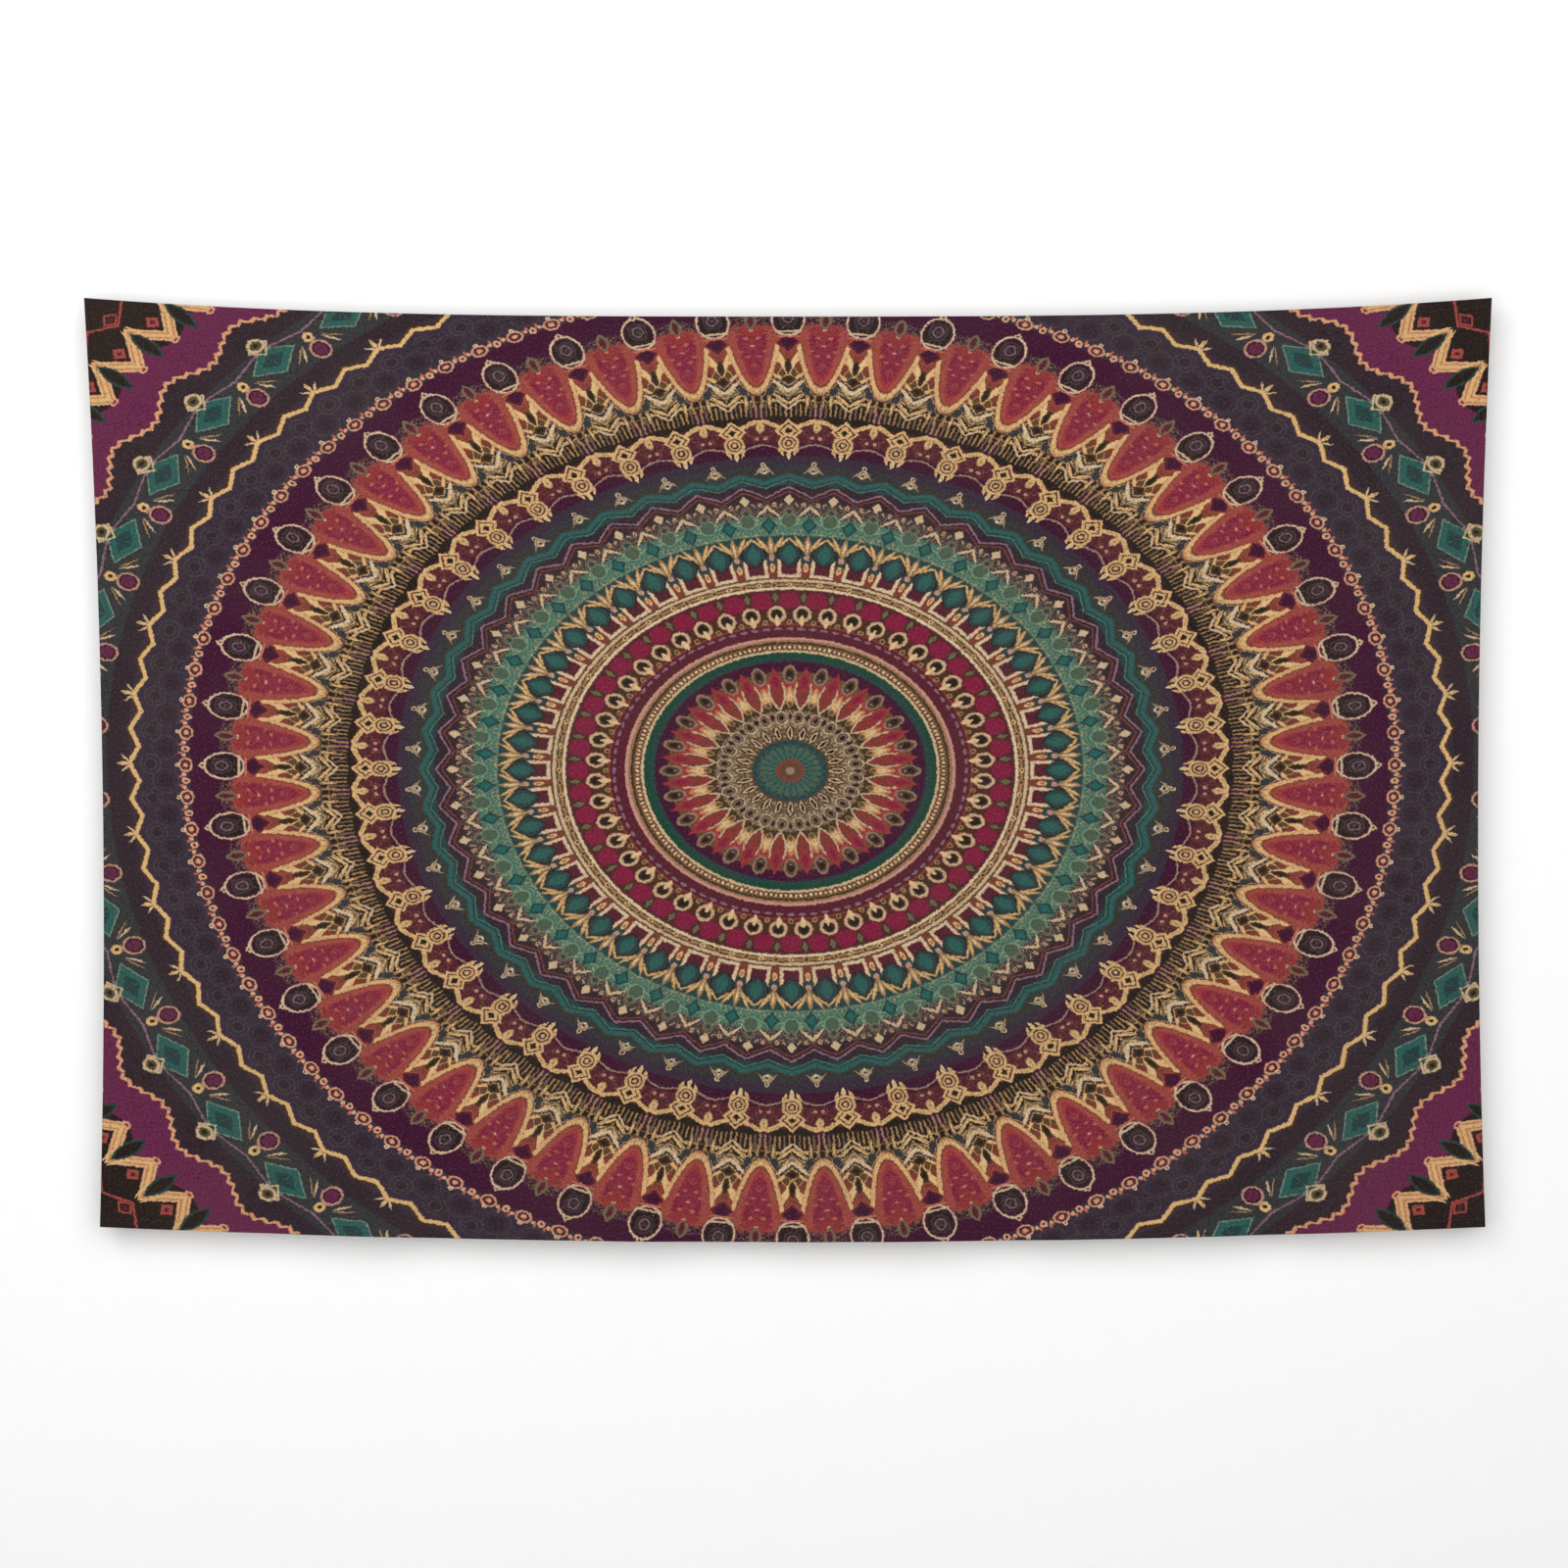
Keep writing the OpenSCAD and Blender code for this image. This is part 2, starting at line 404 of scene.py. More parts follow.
# Each motif is repeated round the circle and mirrored about its own axis: axis and form, radius,
# half width, half length along the radius, dyes, and, where not 0, its offset and its lean.
# Its dyes run from its middle to its rim, with the edges between them as shares of its size,
# and "clear" leaves a gap.
# Axes: b and a are the 48 spokes and the middles between them, d is both, e is between those,
# q and p are the 24 spokes and the middles between them.
# A zigzag, wave or frill has its radius on the axis, its radius half way to the next such axis,
# and half its thickness. A cup is a parabola that opens outwards: the radius of its tip, its
# half width at that length from the tip, and in place of the offset its cut radius.
MOTIFS = [
    ("q leaf", 24, 1.5, 10, "teal 0.5 deep_teal"),
    ("p oval", 13, 2.2, 2.0, "red 0.5 rust"),
    ("q lozenge", 33, 2.6, 6, "umber 0.5 sea"),
    ("q leaf", 51, 4.2, 11, "ink 0.42 cream 0.7 umber"),
    ("p oval", 72, 6.4, 9, "ink 0.45 dusty 0.6 umber 0.85 cream"),
    ("q lozenge", 74, 4.8, 9, "ink 0.6 dusty"),
    ("q leaf", 100, 6.2, 15, "gold 0.5 orange"),
    ("q leaf", 90, 3.6, 5, "olive 0.6 ochre"),
    ("q wave", 103, 88, 1.6, "pale_gold"),
    ("p leaf", 108, 9.6, 27, "rust 0.42 red 0.66 umber 0.74 sand"),
    ("p lozenge", 121, 8, 20, "crimson 0.5 red"),
    ("q oval", 130, 7.4, 12.5, "ink 0.5 brown 0.78 dusty"),
    ("q oval", 125, 4.4, 3, "mauve 0.5 umber"),
    ("d oval", 167, 3.2, 4.6, "pale_gold 0.5 brown"),
    ("e oval", 167, 3.2, 4.6, "peach 0.5 brown"),
    ("d oval", 151, 4.4, 3.2, "deep_teal"),
    ("d oval", 192, 4.2, 1.8, "mauve"),
    ("a oval", 212, 10.5, 12, "ink 0.45 umber 0.64 sand 0.92 brick"),
    ("a leaf", 203, 3.2, 8, "cream 0.5 gold"),
    ("b oval", 201, 3.0, 3.4, "umber 0.5 ochre"),
    ("b oval", 231, 14.2, 12.6, "crimson 0.88 wine"),
    ("a lozenge", 235, 6, 11, "taupe 0.6 umber"),
    ("a oval", 252, 3.4, 4.2, "umber 0.5 ochre"),
    ("b oval", 252, 3.4, 2.4, "umber 0.5 gold"),
    ("b box", 275, 12.4, 13, "wine 0.7 cream"),
    ("a oval", 275, 2.6, 6, "ochre 0.5 gold"),
    ("b leaf", 294, 14, 18, "teal 0.2 sea 0.5 deep_teal 0.85 ink"),
    ("a oval", 289, 3, 4, "pink"),
    ("a leaf", 308, 2.6, 12, "gold 0.5 ochre", 13, 1.05),
    ("a leaf", 306, 3.0, 14, "gold 0.6 ochre", 7.5, 0.55),
    ("a leaf", 304, 3.8, 15, "pale_gold 0.4 ochre"),
    ("b wave", 333, 338, 1.1, "pale_teal"),
    ("a lozenge", 333, 9, 12, "teal 0.6 deep_teal"),
    ("b oval", 340, 9, 11, "sage 0.7 olive 0.84 pale_teal"),
    ("a leaf", 353, 2.4, 9, "sand", 5, -0.9),
    ("b lozenge", 352, 7, 7, "deep_teal 0.55 taupe"),
    ("a oval", 361, 2.2, 2.2, "ink 0.5 peach", 8),
    ("b lozenge", 368, 5.6, 7, "sand"),
    ("b zigzag", 386, 371, 1.3, "mauve"),
    ("b zigzag", 380, 366, 0.9, "rust"),
    ("b zigzag", 402, 391, 6.2, "sea 0.45 deep_teal"),
    ("b zigzag", 408, 398, 1.1, "umber"),
    ("b zigzag", 396, 384, 0.8, "light_teal"),
    ("a lozenge", 408, 8, 5, "ink 0.35 cream"),
    ("a oval", 417, 2.8, 3.4, "ink 0.5 sand"),
    ("a leaf", 410, 2.0, 8, "sand 0.6 taupe", 5, -0.8),
    ("b wave", 436, 444, 1.2, "dusty"),
    ("b wave", 465, 477, 3.4, "gold 0.8 ochre"),
    ("b lozenge", 463, 15, 16, "ink 0.3 gold 0.6 wine 0.76 gold"),
    ("b oval", 446, 11, 12.5, "gold 0.2 plum 0.4 gold 0.58 wine 0.74 gold"),
    ("b leaf", 430, 2.4, 7, "pale_gold"),
    ("b leaf", 434, 2.0, 6, "gold", 8, 0.4),
    ("a oval", 453, 2.2, 2.4, "pink", 4.4),
    ("a oval", 468, 4.2, 7, "ochre 0.3 gold"),
    ("a oval", 489, 8, 11, "indigo 0.5 plum"),
    ("a box", 504, 1.8, 9, "gold 0.6 ochre", 12.5),
    ("a box", 504, 1.4, 8, "ochre", 4.5),
    ("d box", 491, 1.0, 9, "ochre", 2.8),
    ("d box", 494, 1.0, 11, "khaki", 8.2),
    ("d box", 492, 1.0, 8, "ochre", 13.4),
    ("b leaf", 499, 2.0, 8, "sand", 6, 1.0),
    ("b leaf", 507, 2.8, 10, "gold 0.7 ochre", 7, 1.0),
    ("b leaf", 516, 1.8, 10, "khaki", 8, 1.0),
    ("b leaf", 525, 3.4, 11, "cream 0.7 sand", 8, 1.0),
    ("b leaf", 536, 3.2, 12, "gold 0.7 orange", 9, 1.0),
    ("b lozenge", 534, 9, 8, "ink 0.5 umber"),
    ("b leaf", 562, 3.0, 13, "gold 0.6 orange", 12, 0.9),
    ("b leaf", 556, 3.4, 20, "pale_gold 0.4 gold", 5, 0.35),
    ("b leaf", 553, 4, 12, "ink 0.4 umber"),
    ("a cup", 513, 21.5, 37, "gold 0.93 orange", 588),
    ("a cup", 523, 20.5, 42, "brick 0.9 rust", 609),
    ("a cup", 526, 14, 42, "crimson 0.7 red 0.9 brick", 598),
    ("a lozenge", 602, 18, 16, "red"),
    ("a oval", 581, 4.6, 2.2, "peach 0.5 crimson"),
    ("a oval", 567, 3.4, 1.8, "salmon 0.6 brick", 6),
    ("a oval", 574, 2.4, 1.6, "salmon", 12),
    ("a oval", 592, 2.8, 1.8, "salmon", 7),
    ("a oval", 601, 2.6, 1.6, "rust", 14),
    ("a oval", 604, 2.4, 2.4, "peach"),
    ("a oval", 556, 2.6, 1.6, "brick"),
    ("b lozenge", 586, 15, 16, "plum 0.6 wine 0.85 brick"),
    ("b oval", 617, 19, 24, "ink 0.72 plum 0.86 cream 0.96 plum"),
    ("b oval", 620, 10, 12, "ink 0.5 mauve 0.62 ink 0.88 scale"),
    ("b box", 594, 13, 1.3, "salmon"),
    ("b box", 601, 14, 1.3, "sand"),
    ("b lozenge", 641, 4.6, 4.4, "wine 0.4 sand"),
    ("a leaf", 616, 7, 13, "wine 0.5 taupe"),
    ("d oval", 659, 9.6, 7.6, "peach 0.34 wine 0.76 peach"),
    ("d oval", 668, 2.8, 2.4, "wine 0.4 cream"),
    ("d oval", 661, 2.4, 2.6, "peach", 13),
    ("e oval", 659, 4.2, 4.6, "wine 0.4 peach"),
    ("e box", 664, 1.4, 2.6, "salmon", 6),
    ("e oval", 681, 17, 15, "aubergine 0.55 clear 0.88 scale"),
    ("d oval", 697, 14, 12, "aubergine 0.45 scale 0.6 clear 0.84 scale"),
    ("d zigzag", 724, 714, 2.2, "umber"),
    ("b leaf", 727, 2.3, 8, "gold"),
    ("b leaf", 724, 2.0, 6, "sand", 6, 1.0),
    ("d zigzag", 720, 710, 3.0, "gold 0.75 ochre"),
    ("b zigzag", 797, 788, 1.3, "mauve"),
    ("b lozenge", 779, 33, 21, "deep_teal 0.5 teal 0.62 sea 0.92 pale_teal"),
    ("b box", 776, 0.7, 18, "sea"),
    ("b lozenge", 802, 15, 14, "green 0.78 sand"),
    ("b oval", 805, 11, 9, "ink 0.3 olive 0.66 sand"),
    ("a leaf", 762, 1.8, 10, "sand", 19, -0.6),
    ("a leaf", 764, 1.4, 9, "ochre", 24, -1.1),
    ("a oval", 757, 12, 13, "ribbon 0.62 ink 0.8 pink"),
    ("a oval", 777, 6, 7, "ink 0.4 gold"),
    ("b wave", 865, 846, 24, "ribbon 0.96 plum"),
    ("b frill", 842, 823, 2.6, "peach 0.6 orange"),
    ("d zigzag", 876, 908, 10.5, "gold 0.3 orange 0.6 gold 0.8 peach"),
    ("e leaf", 887, 9.5, 24, "ink 0.7 deep_teal"),
    ("e leaf", 908, 1.8, 12, "gold", 7, -0.3),
    ("d oval", 870, 6, 3.6, "red 0.5 peach"),
    ("d lozenge", 902, 9, 9, "wine 0.4 brick"),
    ("e lozenge", 936, 12, 9, "wine 0.4 clear 0.7 brick"),
    ("d zigzag", 944, 925, 2.4, "brick 0.6 wine"),
]

# Fine filigree that follows a noise's contours, mirrored like the motifs: axis, inner and outer
# radius, scale, line thickness, dye, strength, and how far it reaches, if not to the next axis
FILIGREE_UNDER = [
    ("q", 42, 84, 0.16, 0.06, "sand", 0.55),
    ("a", 100, 134, 0.15, 0.05, "salmon", 0.5),
    ("b", 318, 366, 0.13, 0.045, "gold", 0.6),
    ("b", 326, 362, 0.17, 0.05, "ink", 0.55),
    ("b", 446, 474, 0.13, 0.04, "ochre", 0.5),
    ("b", 502, 552, 0.11, 0.09, "gold", 0.85),
    ("a", 560, 604, 0.15, 0.05, "salmon", 0.55),
    ("a", 600, 624, 0.17, 0.06, "taupe", 0.8),
]
FILIGREE_OVER = [
    ("q", 60, 132, 0.3, 0.05, "umber", 0.5),
    ("b", 200, 244, 0.33, 0.035, "ink", 0.5),
    ("b", 262, 318, 0.26, 0.04, "umber", 0.6),
    ("b", 402, 428, 0.19, 0.06, "aubergine", 0.6),
    ("b", 426, 478, 0.27, 0.045, "ink", 0.65),
    ("b", 502, 530, 0.12, 0.04, "ink", 0.6),
    ("a", 530, 614, 0.27, 0.05, "salmon", 0.5, 0.62),
    ("a", 540, 616, 0.31, 0.05, "wine", 0.75, 0.7),
    ("b", 594, 632, 0.24, 0.03, "mauve", 0.6, 0.3),
    ("b", 668, 708, 0.13, 0.06, "ink", 0.45),
    ("b", 724, 860, 0.07, 0.035, "ink", 0.5),
]

# How wide a dye's soft edge is, in millimetres, and how far past its edge a motif's ramp runs
SOFT = 0.7
EDGE = 1.25

# The forms that run all round as a line. The teeth of a frill are so wide, as a share of the way
# to the next axis, and so many times as deep, as a share of the line's swing.
LINES = ("zigzag", "wave", "frill")
FRILL_TOOTH = 0.125
FRILL_DEPTH = 2.0

# How far inside its cut a cup's dyes run out, in millimetres
CUP_CUT = 5


def parse_dyes(text):
    """The names of the dyes in a text such as 'gold 0.5 ochre', and the numbers between them."""
    words = text.split()
    return words[::2], [float(word) for word in words[1::2]]


def ground_stops(start, end, dyes):
    """Ramp stops that hold each band's dye up to the next, with a narrow change between."""
    names, radii = parse_dyes(dyes)
    stops = [(0.0, DYES[names[0]])]
    for before, radius, after in zip(names, radii, names[1:]):
        stops.append(((radius - GROUND_SOFT - start) / (end - start), DYES[before]))
        stops.append(((radius + GROUND_SOFT - start) / (end - start), DYES[after]))
    return stops


def motif_stops(dyes, size):
    """Ramp stops from a motif's middle outwards, clear past its rim."""
    names, edges = parse_dyes(dyes)
    soft = min(0.12, SOFT / size)
    stops = []
    inner = 0.0
    for edge, name in zip(edges + [1.0], names):
        colour = [*colour[:3], 0.0] if name == "clear" else DYES[name]
        stops.append((inner, colour))
        stops.append(((edge - soft) / EDGE, colour))
        inner = (edge + soft) / EDGE
    stops.append((inner, [*colour[:3], 0.0]))
    return stops


def ring_stops():
    """Ramp stops for the thin rings, clear between them."""
    stops = []
    start, end = RING_RUN
    for radius, half, dye in RINGS:
        for step, alpha in ((-half - SOFT, 0), (-half, 1), (half, 1), (half + SOFT, 0)):
            stops.append(((radius + step - start) / (end - start), [*DYES[dye][:3], alpha]))
    return stops


def line_field(nodes, form, r, share, here, there, half):
    """The field of a line that runs all round, from its radius here to its radius there."""
    swing = share if form == "zigzag" else nodes.step(share, 0.0, 1.0)
    if form == "frill":
        teeth = nodes.math("PINGPONG", share, FRILL_TOOTH)
        swing = nodes.line(teeth, FRILL_DEPTH, swing)
    line = nodes.line(swing, here - there, -here)
    line = nodes.math("ADD", line, r)
    line = nodes.times(line, 1 / (EDGE * half))
    return nodes.abs(line)


def cup_field(nodes, r, across, tip, half_w, length, end):
    """The field of a parabola with its tip at one radius, cut off past another."""
    cut = nodes.line(r, 1 / (CUP_CUT * EDGE), (1 - end / CUP_CUT) / EDGE)
    rise = nodes.line(r, -1 / length, 1 + tip / length)
    u = nodes.times(across, 1 / half_w)
    bowl = nodes.line(u, u, rise)
    return nodes.math("MAXIMUM", nodes.times(bowl, 1 / EDGE), cut)


def motif_field(nodes, form, r, across, radius, half_w, half_l, offset, lean):
    """A motif's field: 0 in its middle, and 1 / EDGE at its edge."""
    wide = EDGE * half_w
    long = (math.sqrt(EDGE) if form == "leaf" else EDGE) * half_l
    shift = -offset / wide
    if lean:
        shift = nodes.line(r, -lean / wide, (lean * radius - offset) / wide)
    u = nodes.line(across, 1 / wide, shift)
    v = nodes.line(r, 1 / long, -radius / long)
    if form == "oval":
        squares = nodes.line(v, v, nodes.times(u, u))
        return nodes.math("SQRT", squares)
    if form == "leaf":
        return nodes.line(v, v, nodes.abs(u))
    joined = "ADD" if form == "lozenge" else "MAXIMUM"
    return nodes.math(joined, nodes.abs(u), nodes.abs(v))


# How many spokes each axis has in the whole circle
SPOKES = {"b": 48, "a": 48, "d": 96, "e": 96, "q": 24, "p": 24}
PARTNER = {"b": "a", "d": "e", "q": "p"}


def band_group(name, rows, draw):
    """A node group that draws the rows over the colour it is given."""
    group, nodes, given = new_group(name, Color="Color", R="Float", B="Float", D="Float", Q="Float")
    colour, r = given[0], given[1]
    shares = dict(zip("bdq", given[2:5]))
    for axis in "bdq":
        if any(row[0][0] == PARTNER[axis] for row in rows):
            shares[PARTNER[axis]] = nodes.math("SUBTRACT", 1.0, shares[axis])
    for row in rows:
        colour = draw(nodes, colour, r, shares[row[0][0]], row)
    give_colour(nodes, colour)
    return group


def draw_filigree(nodes, colour, r, share, row):
    axis, low, high, scale, width, dye, strength, *reach = row
    middle = (low + high) / 2
    across = nodes.times(share, math.pi * middle / SPOKES[axis])
    one = nodes.wander(nodes.line(r, 0.55, across), scale)
    two = nodes.wander(nodes.line(across, -0.7, r), scale)
    line = nodes.math("ADD", nodes.math("SUBTRACT", one, 1.0), two)
    line = nodes.abs(line)
    line = nodes.step(line, width * 0.4, width, (strength, 0.0))
    gate = nodes.abs(nodes.math("SUBTRACT", r, middle))
    gate = nodes.step(gate, (high - low) / 2 - 3, (high - low) / 2, (1.0, 0.0))
    line = nodes.times(line, gate)
    for end in reach:
        line = nodes.times(line, nodes.step(share, end - 0.1, end, (1.0, 0.0)))
    return nodes.mix(line, colour, DYES[dye])


def draw_motif(nodes, colour, r, share, row):
    name, radius, half_w, half_l, dyes, *moved = row
    axis, form = name.split()
    if form in LINES:
        size = half_l
        field = line_field(nodes, form, r, share, radius, half_w, half_l)
    else:
        size = min(half_w, half_l)
        across = nodes.times(share, math.pi / SPOKES[axis])
        across = nodes.times(across, r)
        if form == "cup":
            field = cup_field(nodes, r, across, radius, half_w, half_l, *moved)
        else:
            offset, lean = (*moved, 0, 0)[:2]
            field = motif_field(nodes, form, r, across, radius, half_w, half_l, offset, lean)
    paint, alpha = nodes.ramp(field, motif_stops(dyes, size))
    return nodes.mix(alpha, colour, paint)


def run_share(nodes, r, start, end):
    """How far the radius is along a run, from 0 at its start to 1 at its end."""
    return nodes.line(r, 1 / (end - start), -start / (end - start))


def ground_group():
    """The ground dyes and the thin rings, by radius alone."""
    group, nodes, given = new_group("print_ground", R="Float")
    r = given[0]
    colour = None
    for start, end, first, dyes in GROUND:
        further, _ = nodes.ramp(run_share(nodes, r, start, end), ground_stops(start, end, dyes))
        if colour:
            here = nodes.step(r, first - GROUND_SOFT, first + GROUND_SOFT)
            further = nodes.mix(here, colour, further)
        colour = further
    ring, alpha = nodes.ramp(run_share(nodes, r, *RING_RUN), ring_stops())
    give_colour(nodes, nodes.mix(alpha, colour, ring))
    return group


# How many motifs one node group draws
BAND_ROWS = 8


def make_print():
    """A node group that gives the print's colour at a place on the flat cloth, in metres."""
    group, nodes, given = new_group("print", Place="Vector")
    place = nodes.split(given[0])
    x = nodes.times(place[0], 1000.0)
    y = nodes.times(place[1], 1000.0 * PRINT_STRETCH)
    yy = nodes.times(y, y)
    r = nodes.math("SQRT", nodes.line(x, x, yy))
    turn = nodes.math("ARCTAN2", y, x)
    # shares from 0 on a spoke to 1 half way to the next one
    shares = []
    for axis in "bdq":
        spokes = nodes.times(turn, SPOKES[axis] / math.pi)
        shares.append(nodes.math("PINGPONG", spokes, 1.0))
    ground = nodes.add("ShaderNodeGroup", node_tree=ground_group())
    nodes.put(ground.inputs[0], r)
    colour = ground.outputs[0]
    bands = [(FILIGREE_UNDER, draw_filigree)]
    bands += [(MOTIFS[i:i + BAND_ROWS], draw_motif) for i in range(0, len(MOTIFS), BAND_ROWS)]
    bands += [(FILIGREE_OVER, draw_filigree)]
    for number, (rows, draw) in enumerate(bands):
        tree = band_group(f"print_band_{number}", rows, draw)
        band = nodes.add("ShaderNodeGroup", node_tree=tree)
        for socket, value in zip(band.inputs, (colour, r, *shares)):
            nodes.put(socket, value)
        colour = band.outputs[0]
    give_colour(nodes, colour)
    return group


def flat_place(nodes):
    """The place on the flat cloth, from the UV map that the cloth's meshes carry."""
    return nodes.add("ShaderNodeUVMap", uv_map="flat").outputs[0]


WEAVE_PITCH = 0.0005
WEAVE_BUMP = 0.00012
BLEED = 0.0042
RIB_PITCH = 0.00045
RIB_BUMP = 0.00005


def weave_height(nodes, place, pitch):
    """Height of a plain weave: crossing threads a pitch apart, over and under in turn."""
    x, y, _ = nodes.split(place)
    warp = nodes.wave(x, 2 * pitch)
    weft = nodes.wave(y, 2 * pitch)
    return nodes.times(warp, weft)


def bleed(nodes, place, reach):
    """The place moved a little to and fro, as ink bleeds along the threads."""
    centred = nodes.noise(place, 330.0, output="Color")
    centred = nodes.vector("SUBTRACT", centred, (0.5, 0.5, 0.5))
    return nodes.vector("MULTIPLY_ADD", centred, (reach, reach, 0), place)


def print_material(name, group, show=1.0):
    """The printed cloth. With show under 1 it is the pale back that the print shows through."""
    material, nodes, output = new_material(name)
    place = flat_place(nodes)
    printed = nodes.add("ShaderNodeGroup", node_tree=group)
    nodes.put(printed.inputs[0], bleed(nodes, place, BLEED))
    colour = printed.outputs[0]
    if show < 1:
        colour = nodes.mix(show, DYES["bare_cloth"], colour)
    grain = nodes.noise(place, 420.0, 3.0, 0.7)
    dark = nodes.step(grain, 0.34, 0.50, (0.42 * show, 0.0))
    colour = nodes.mix(dark, colour, GRAIN_DARK)
    light = nodes.step(grain, 0.52, 0.68, (0.0, 0.16 * show))
    colour = nodes.mix(light, colour, GRAIN_LIGHT)
    mottle = nodes.noise(place, 9.0, 3.0)
    dye = nodes.step(mottle, 0.3, 0.7, (0.0, 0.10))
    colour = nodes.mix(dye, colour, MOTTLE)
    slub = nodes.noise(place, 1100.0, 1.0)
    rough = nodes.step(slub, 0.3, 0.7, (0.76, 0.92))
    height = weave_height(nodes, place, WEAVE_PITCH)
    shader(nodes, output, colour, rough, height, WEAVE_BUMP, 0.05, (0.95, 0.9, 0.9, 1))
    return material


def thread_material(name, colour, pitch, sheen):
    """Twisted or plaited yarn: slanted fibres along the UV map 'flat', with painted shade in the
    grooves between them and a soft sheen.
    """
    material, nodes, output = new_material(name)
    place = flat_place(nodes)
    x, y, _ = nodes.split(place)
    fibre = nodes.wave(nodes.math("ADD", x, y), pitch)
    fuzz = nodes.noise(place, 2200.0, 2.0)
    # Painted shade: the grooves between the fibres are darkened in the colour as well as sunk by the
    # bump.
    shade = nodes.step(fibre, -1.0, 0.6, (0.45, 0.0))
    mixed = nodes.mix(shade, colour, dim(colour, 0.35))
    pale = tuple(min(1.0, 1.5 * c + 0.01) for c in colour[:3]) + (1.0,)
    mixed = nodes.mix(nodes.step(fuzz, 0.5, 0.8, (0.0, 0.5)), mixed, pale)
    shader(nodes, output, mixed, 0.62, fibre, pitch * 0.10, sheen, (0.9, 0.88, 0.9, 1))
    return material


def satin_material(name):
    """Woven satin ribbon: fine ribs across, a smooth sheen and a little yellowing at its edges."""
    material, nodes, output = new_material(name)
    place = flat_place(nodes)
    x, y, _ = nodes.split(place)
    rib = nodes.wave(x, RIB_PITCH)
    across = nodes.abs(y)
    worn = nodes.step(across, 0.0150, 0.0176, (0.0, 0.35))
    grey = nodes.noise(place, 60.0, 3.0)
    grey = nodes.step(grey, 0.4, 0.75, (0.0, 0.25))
    colour = nodes.mix(grey, DYES["satin"], DYES["grey_satin"])
    colour = nodes.mix(worn, colour, DYES["yellow_satin"])
    shader(nodes, output, colour, 0.34, rib, RIB_BUMP, sheen=0.25, gloss=0.4)
    return material


# -------------------- the cloth


# Grid lines near an edge, close together where the hem's relief is
NEAR_LINES = [0.0, 0.0006, 0.003, 0.006, 0.008, 0.009, 0.010, 0.0118, 0.0126, 0.015, 0.020]
GRID_STEP = 0.0062


def edge_lines(length):
    """Grid lines from 0 to length, with the near lines at both ends and even ones between."""
    near = np.array(NEAR_LINES[:-1])
    inner = NEAR_LINES[-1]
    count = round((length - 2 * inner) / GRID_STEP)
    middle = np.linspace(inner, length - inner, count + 1)
    return np.concatenate([near, middle, length - near[::-1]])


# Relief of the printed face over a hem, in metres: the step down past the turned cloth, the
# ridge of the seam and the ridge of the fold
TURN_STEP = 0.00018
SEAM_RIDGE = 0.00034
FOLD_RIDGE = 0.00045


def hem_relief(d):
    """How far the face stands forward over the hem, at distance d from the nearest edge."""
    turned = TURN_STEP * np.clip((0.0128 - d) / 0.0012, 0, 1)
    seam = SEAM_RIDGE * np.exp(-((d - SEAM_INSET) / 0.0011) ** 2)
    fold = FOLD_RIDGE * np.clip(1 - d / 0.0006, 0, 1) ** 2
    return seam + fold - turned


def front_surface(s, q):
    return PANEL_LOW.y + ripple(s, q) + hem_relief(edge_distance(s, q))


def make_cloth(face, back):
    """The cloth as one thin closed sheet: printed face, pale back, joined along its rim."""
    s, q = np.meshgrid(edge_lines(CLOTH_W) - CLOTH_W / 2, edge_lines(CLOTH_H))
    x, z = hung(s, q)
    points = [np.stack([x, y, z], -1).reshape(-1, 3)
              for y in (front_surface(s, q), PANEL_HIGH.y + ripple(s, q))]
    flat = np.stack([s, CLOTH_H / 2 - q], -1).reshape(-1, 2)
    index = np.arange(s.size).reshape(s.shape)
    a, b, c, d = index[:-1, :-1], index[:-1, 1:], index[1:, 1:], index[1:, :-1]
    face_quads = np.stack([a, d, c, b], -1).reshape(-1, 4)
    back_quads = np.stack([a, b, c, d], -1).reshape(-1, 4) + s.size
    loop = np.concatenate([index[0, :-1], index[:-1, -1], index[-1, :0:-1], index[:0:-1, 0]])
    after = np.roll(loop, -1)
    rim = np.stack([loop, after, after + s.size, loop + s.size], -1)
    quads = np.concatenate([face_quads, back_quads, rim])
    piece = mesh_piece("printed_cloth", np.concatenate(points), quads, np.concatenate([flat, flat]))
    piece.data.materials.append(face)
    piece.data.materials.append(back)
    slots = np.zeros(len(quads), np.int32)
    slots[len(face_quads):len(face_quads) + len(back_quads)] = 1
    piece.data.polygons.foreach_set("material_index", slots)
    return piece


def mesh_piece(name, points, quads, flat):
    """A smooth mesh object from arrays, with flat places as its UV map 'flat'."""
    mesh = bpy.data.meshes.new(name)
    mesh.vertices.add(len(points))
    mesh.vertices.foreach_set("co", np.asarray(points, np.float32).ravel())
    quads = np.asarray(quads, np.int32)
    mesh.loops.add(quads.size)
    mesh.loops.foreach_set("vertex_index", quads.ravel())
    mesh.polygons.add(len(quads))
    mesh.polygons.foreach_set("loop_start", np.arange(0, quads.size, 4, dtype=np.int32))
    mesh.update(calc_edges=True)
    mesh.validate()
    uv = mesh.uv_layers.new(name="flat")
    uv.data.foreach_set("uv", np.asarray(flat, np.float32)[quads.ravel()].ravel())
    mesh.polygons.foreach_set("use_smooth", np.ones(len(mesh.polygons), bool))
    return new_object(name, mesh)


# -------------------- hems


